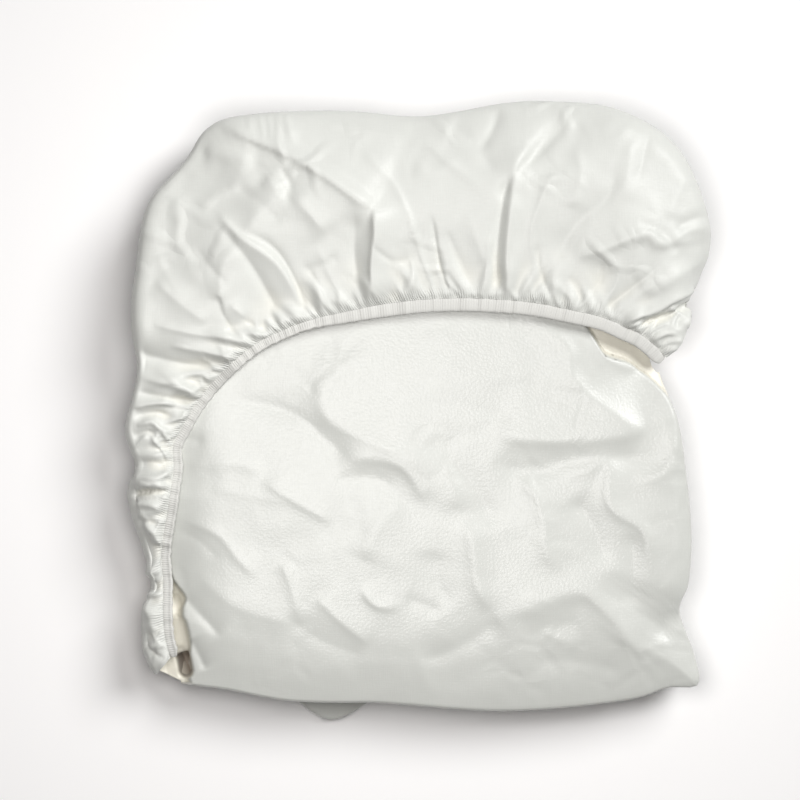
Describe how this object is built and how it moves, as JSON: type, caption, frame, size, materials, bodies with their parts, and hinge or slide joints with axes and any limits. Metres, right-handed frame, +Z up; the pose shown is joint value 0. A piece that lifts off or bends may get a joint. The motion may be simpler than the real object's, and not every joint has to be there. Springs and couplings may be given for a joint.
{
  "type": "fitted sheet",
  "caption": "Fitted sheet for a cot mattress, folded into a flat square pile with its gathered elastic edge turned over the top.",
  "frame": {"origin": "on the table, under the centre of the pile's outline", "axes": "+Z up, +Y towards the far rim where the wall is turned over, +X towards the side where the elastic ends"},
  "size_m": [0.3514, 0.368, 0.0598],
  "materials": {
    "cotton_cloth": "fine white cotton weave with a soft sheen",
    "elastic_band": "white gathered elastic with overlock stitching"
  },
  "bodies": {
    "root": {"sheet_cloth": "cotton_cloth", "elastic_edge": "elastic_band"}
  },
  "joints": []
}
